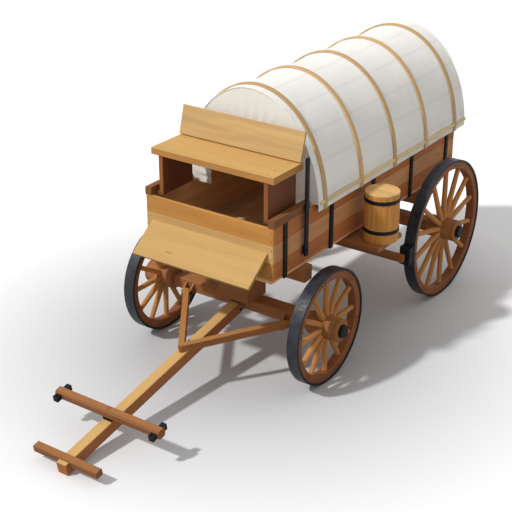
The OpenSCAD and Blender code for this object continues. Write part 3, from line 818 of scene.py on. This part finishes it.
def make_front_curtain():
    """The cloth behind the seat, round its arched opening."""
    lo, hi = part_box("front_curtain")
    step = BOARD_TOP.z + 1.5 * MM
    inner = BOARD_TOP.x - 26 * MM
    rim = [(inner, lo.z), (inner, step), *cover_line((lo.y + hi.y) / 2, step), (-inner, step), (-inner, lo.z)]
    mouth = [(DOOR_HALF, lo.z), *half_ellipse(DOOR_HALF, DOOR_SPRING, DOOR_RISE, 40), (-DOOR_HALF, lo.z)]
    rim, mouth = along_line(rim, 150)[0], along_line(mouth, 150)[0]
    cloth, area = curtain("front_curtain_cloth", "front_curtain", rim, mouth, 4.5 * MM, 22, False, 2.6 * MM)
    flat = (round(2 * HALF, 3), round(hi.z - lo.z, 3))
    area = round(min(area, flat[0] * flat[1]), 3)


def make_rear_curtain():
    """The cloth at the back, gathered round its oval hole."""
    lo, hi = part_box("rear_curtain")
    over = cover_line((lo.y + hi.y) / 2, lo.z + 1 * MM)
    centre = BOARD_TOP.z + HOLE_ABOVE_BOARDS
    rim = [(0.001, lo.z), (over[0][0], lo.z), *over, (over[-1][0], lo.z), (0.0, lo.z)]
    rim = along_line(rim, 168)[0][:-1]
    mouth = []
    for x, z in rim:
        a = math.atan2((z - centre) / HOLE_Z, x / HOLE_X)
        mouth.append((HOLE_X * math.cos(a), centre + HOLE_Z * math.sin(a)))
    cloth, area = curtain("rear_curtain_cloth", "rear_curtain", rim, mouth, 9 * MM, 34, True, 4.2 * MM)
    flat = (round(2 * HALF, 3), round(hi.z - lo.z, 3))
    area = round(min(area, flat[0] * flat[1]), 3)


make_cover()
make_front_curtain()
make_rear_curtain()

# ---------------------------------------------------------------- wheels


TYRE_THICK, FELLOE_DEPTH, FELLOE_HALF = 18.3 * MM, 64 * MM, 41 * MM
JOINT = 0.25  # the first joint between felloes, in shares of a felloe
BOLT_OFF = 0.055  # a felloe bolt's angle from a joint


def make_felloes(s, inner, outer, width, count):
    """Rim blocks with rounded edges, butted end to end."""
    profile = [
        (inner + 9 * MM, -width), (inner + 2 * MM, 6 * MM - width), (inner, 14 * MM - width),
        (inner, width - 14 * MM), (inner + 2 * MM, width - 6 * MM), (inner + 9 * MM, width),
        (outer, width), (outer, -width),
    ]
    middle, steps = (inner + outer) / 2, 12
    gap = 0.7 * MM / outer
    for k in range(count):
        start, end = TURN * (k + JOINT) / count + gap, TURN * (k + 1 + JOINT) / count - gap
        rings, uvs = [], []
        for i in range(steps + 1):
            a = lerp(start, end, i / steps)
            pinch = 1.2 * MM if i in (0, steps) else 0.0
            section = [(lerp(r, middle, pinch * 20), z * (1 - pinch * 12)) for r, z in profile]
            rings.append([(*polar(r, a), z) for r, z in section])
            uvs.append([(a * outer, r + z * 0.6 + 0.37 * k) for r, z in profile])
        s.rings(rings, uvs)


# along a spoke: share of its length, half its size round the wheel and along the hub in mm, squareness
SPOKE = (
    (0.0, 22, 28, 4.0), (0.06, 22, 28, 4.0), (0.10, 22, 28, 3.2), (0.17, 22, 27, 2.4),
    (0.32, 22.5, 25.5, 2.1), (0.6, 22, 23.5, 2.0), (0.93, 21, 21.5, 2.0), (0.955, 21, 21.5, 2.0),
    (0.96, 23.5, 24, 2.0), (0.985, 23.5, 24, 2.0), (1.0, 21, 21, 2.0),
)


def make_spokes(s, start, end, count):
    """Shaved spokes: square at the hub's mortise, oval along their length, round shouldered at the felloe."""
    sides = 16
    for k in range(count):
        a = TURN * k / count
        out, across = Vector((*polar(1, a), 0)), Vector((-math.sin(a), math.cos(a), 0))
        rings, uvs = [], []
        for share, w, d, power in SPOKE:
            r = lerp(start, end, share)
            ring, uv = [], []
            for i in range(sides):
                c, n = polar(1, TURN * i / sides)
                x = math.copysign(abs(c) ** (2 / power), c) * w * MM
                z = math.copysign(abs(n) ** (2 / power), n) * d * MM
                ring.append(out * r + across * x + Vector((0, 0, z)))
                uv.append((r + 0.13 * k, 0.05 * k + x * 1.3 + z * 0.4))
            rings.append(ring)
            uvs.append(uv)
        s.rings(rings, uvs)


# the nave's section, (radius, place along the axle) in mm from its inner end to its outer one
HUB = (
    (31, -128), (93, -128), (97, -124), (97, -108), (95, -105), (97, -102), (97, -60), (99, -46),
    (99, 46), (97, 60), (97, 118), (95, 121), (97, 124), (97, 145), (92, 150), (31, 150),
)


def make_wheel(name, body, side, spokes):
    """Felloes, spokes and nave in place of the CAD wheel's wood, and the felloes' bolts."""
    lo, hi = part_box(f"{name}_tyre")
    centre, radius = (lo + hi) / 2, (hi.z - lo.z) / 2
    turn = Matrix.Translation(centre) @ Matrix.Rotation(side * math.pi / 2, 4, "Y")
    rim = radius - TYRE_THICK
    inner = rim - FELLOE_DEPTH
    wooden = {"body": body, "slot": "wheel_wood", "replaces": [f"{name}_wheel"]}
    ring = Shape()
    make_felloes(ring, inner, rim, FELLOE_HALF, spokes // 2)
    ring.place(turn).make(f"{name}_felloes", felloe_wood, shade=35, **wooden)
    bars = Shape()
    make_spokes(bars, 80 * MM, inner + 3 * MM, spokes)
    bars.place(turn).make(f"{name}_spokes", spoke_wood, shade=50, **wooden)
    nave = lathe([(r * MM, z * MM) for r, z in HUB], 64, wrap=True)
    nave.uv = [(v[0], v[1] * 3) for v in nave.uv]
    nave.place(turn).make(f"{name}_nave", hub_wood, shade=50, **wooden)
    irons = Shape()
    for k in range(spokes // 2):
        for turn_by in (-1, 1):
            a = TURN * (k + JOINT) / (spokes // 2) + turn_by * BOLT_OFF
            x, y = polar((inner + rim) / 2, a)
            for z in (-1, 1):
                irons.dome((x, y, z * FELLOE_HALF), (0, 0, z), 7.5 * MM, 3.5 * MM, 10)
    irons.place(turn).make(f"{name}_bolts", wrought, body, slot="wrought_iron", shade=40)


for wheel_name in WHEELS:
    end, hand = wheel_name.split("_")
    make_wheel(wheel_name, f"wheel_{end}_{hand}", 1 if hand == "left" else -1, 12 if end == "front" else 14)

# ---------------------------------------------------------------- barrel


STAVES, WALL = 18, 14 * MM
STAVE_GAP = 0.004  # radians at each side of a stave
BULGE = 3 * MM
HOOP_HALF = 16 * MM
HOOP_RIVETS = (-0.62, -0.50)  # the angles of the two columns of rivets
LID_BOARDS = 4


def make_staves(radius, height):
    """The barrel's staves, standing a little uneven, and its bottom."""
    staves = Shape()
    rng = random.Random(41)
    for k in range(STAVES):
        a0, a1 = TURN * k / STAVES + STAVE_GAP, TURN * (k + 1) / STAVES - STAVE_GAP
        tip = rng.uniform(-1.2, 1.2) * MM
        rings, uvs = [], []
        for j in range(13):
            z = lerp(0.6 * MM, height - 1.4 * MM + tip, j / 12)
            r = radius(z)
            outer = [(a0, r - 2.2 * MM), (lerp(a0, a1, 0.12), r), (lerp(a0, a1, 0.5), r + 0.5 * MM)]
            outer += [(lerp(a0, a1, 0.88), r), (a1, r - 2.2 * MM)]
            section = outer + [(a1, r - WALL), (a0, r - WALL)]
            rings.append([(*polar(q, a), z) for a, q in section])
            uvs.append([(z, 0.061 * k + a * 0.15) for a, q in section])
        staves.rings(rings, uvs)
    inside = radius(20 * MM) - WALL - 0.5 * MM
    bottom = lathe([(0.0005, 15 * MM), (inside, 15 * MM), (inside, 29 * MM), (0.0005, 29 * MM)], 36)
    bottom.uv = [(0.4 + p.x, p.y) for p in bottom.v]
    staves.add(bottom)
    return staves


def make_hoops(radius, height):
    """Two riveted iron bands that follow the barrel's bulge."""
    hoops, h = Shape(), HOOP_HALF
    for z in (100 * MM, height - 52 * MM):
        low, mid, high = radius(z - h), radius(z), radius(z + h)
        section = [(low + 0.4 * MM, z - h), (low + 4.4 * MM, z - h + 1 * MM), (mid + 4.6 * MM, z)]
        section += [(high + 4.4 * MM, z + h - 1 * MM), (high + 0.4 * MM, z + h), (mid + 0.4 * MM, z)]
        hoops.add(lathe(section, 72, wrap=True))
        for a in HOOP_RIVETS:
            for dz in (-9 * MM, 9 * MM):
                spot = (*polar(radius(z + dz) + 4.4 * MM, a), z + dz)
                hoops.dome(spot, (*polar(1, a), 0), 4.5 * MM, 2.4 * MM)
    return hoops


def make_lid(r):
    """A round lid of boards whose upper edges are eased."""
    lid = Shape()
    for k in range(LID_BOARDS):
        y0, y1 = -r + 2 * r * k / LID_BOARDS + 0.5 * MM, -r + 2 * r * (k + 1) / LID_BOARDS - 0.5 * MM
        y0, y1 = max(y0, -r * 0.995), min(y1, r * 0.995)
        right = [(math.sqrt(max(0.0, r * r - y * y)), y) for y in (lerp(y0, y1, i / 10) for i in range(11))]
        outline = right + [(-x, y) for x, y in reversed(right)]
        cx, cy = sum(p[0] for p in outline) / len(outline), sum(p[1] for p in outline) / len(outline)
        rings = []
        for z, shrink in ((0.0, 0.0), (12.2 * MM, 0.0), (13.4 * MM, 0.8 * MM), (14 * MM, 2.2 * MM)):
            by_x, by_y = shrink / r, shrink / (35 * MM)
            rings.append([(lerp(x, cx, by_x), lerp(y, cy, by_y), z) for x, y in outline])
        lid.rings(rings)
    return lid


def make_barrel():
    lo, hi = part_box("barrel")
    middle = Vector(((lo.x + hi.x) / 2, (lo.y + hi.y) / 2, lo.z))
    height, belly = hi.z - lo.z, (hi.x - lo.x) / 2
    turn = Matrix.Translation(middle)

    def radius(z):
        return belly - BULGE * (2 * z / height - 1) ** 2

    staves = make_staves(radius, height).place(turn)
    staves.make("barrel_staves", stave_wood, "wagon", slot="barrel_wood", replaces=["barrel"], shade=45)
    hoops = make_hoops(radius, height).place(turn)
    hoops.make(
        "barrel_hoop_bands", wrought, "wagon", slot="wrought_iron", replaces=["barrel_hoops"], shade=40
    )
    lo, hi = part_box("barrel_lid")
    lid = make_lid((hi.x - lo.x) / 2).place(Matrix.Translation(Vector((middle.x, middle.y, lo.z))))
    lid.make("barrel_lid_boards", head_wood, "wagon", slot="lid_wood", replaces=["barrel_lid"], shade=30)


make_barrel()

# ---------------------------------------------------------------- bolts and nails


SEAT_POST_X = 0.5025  # the seat's nails stand over its posts


def make_fixings():
    """Carriage bolts on the sides' straps and the tail gate's, and nails in the seat and front boards."""
    box_bolts = Shape()
    mesh = NODES["box_irons"].data
    lo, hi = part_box("box_irons")
    straps = clusters([v.co.y for v in mesh.vertices if v.co.x > hi.x - 1 * MM], 0.06)
    for y0, y1 in straps:
        for i in range(3):
            for share in (0.24, 0.76):
                z = lerp(BOARD_LOW.z + i * BOARD, BOARD_LOW.z + (i + 1) * BOARD, share)
                for side in (-1, 1):
                    box_bolts.dome((side * hi.x, (y0 + y1) / 2, z), (side, 0, 0), 9 * MM, 5 * MM, 10)
    box_bolts.make("strap_bolts", wrought, "wagon", slot="wrought_iron")

    nails = Shape()
    lo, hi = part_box("front_board")
    for i in range(3):
        for share in (0.26, 0.74):
            z = lerp(lo.z + i * BOARD, lo.z + (i + 1) * BOARD, share)
            for side in (-1, 1):
                nails.dome((side * (hi.x - 14 * MM), lo.y, z), (0, -1, 0), 4.5 * MM, 1.6 * MM)
    lo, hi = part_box("seat_board")
    for side in (-1, 1):
        for k in range(4):
            y = lerp(lo.y + 45 * MM, hi.y - 75 * MM, k / 3)
            nails.dome((side * SEAT_POST_X, y, hi.z), (0, 0, 1), 5 * MM, 1.8 * MM)
    nails.make("box_nails", wrought, "wagon", slot="wrought_iron")

    gate_bolts = Shape()
    mesh = NODES["tailgate_irons"].data
    lo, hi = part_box("tailgate_irons")
    for x0, x1 in clusters([v.co.x for v in mesh.vertices if v.co.y > hi.y - 1 * MM], 0.06):
        for i in range(3):
            z = BOARD_LOW.z + (i + 0.5) * BOARD
            if lo.z < z < hi.z:
                gate_bolts.dome(((x0 + x1) / 2, hi.y, z), (0, 1, 0), 8 * MM, 4 * MM, 10)
    gate_bolts.make("gate_bolts", wrought, "tail_board", slot="wrought_iron")


make_fixings()

# ---------------------------------------------------------------- floor, light, end


def make_floor():
    size = 60
    mesh = bpy.data.meshes.new("studio_floor")
    corners = [(-size, -size, 0), (size, -size, 0), (size, size, 0), (-size, size, 0)]
    mesh.from_pydata(corners, [], [(0, 1, 2, 3)])
    mesh.materials.append(floor_material())
    obj = bpy.data.objects.new("studio_floor", mesh)
    bpy.context.scene.collection.objects.link(obj)


make_floor()
make_camera()
make_light()
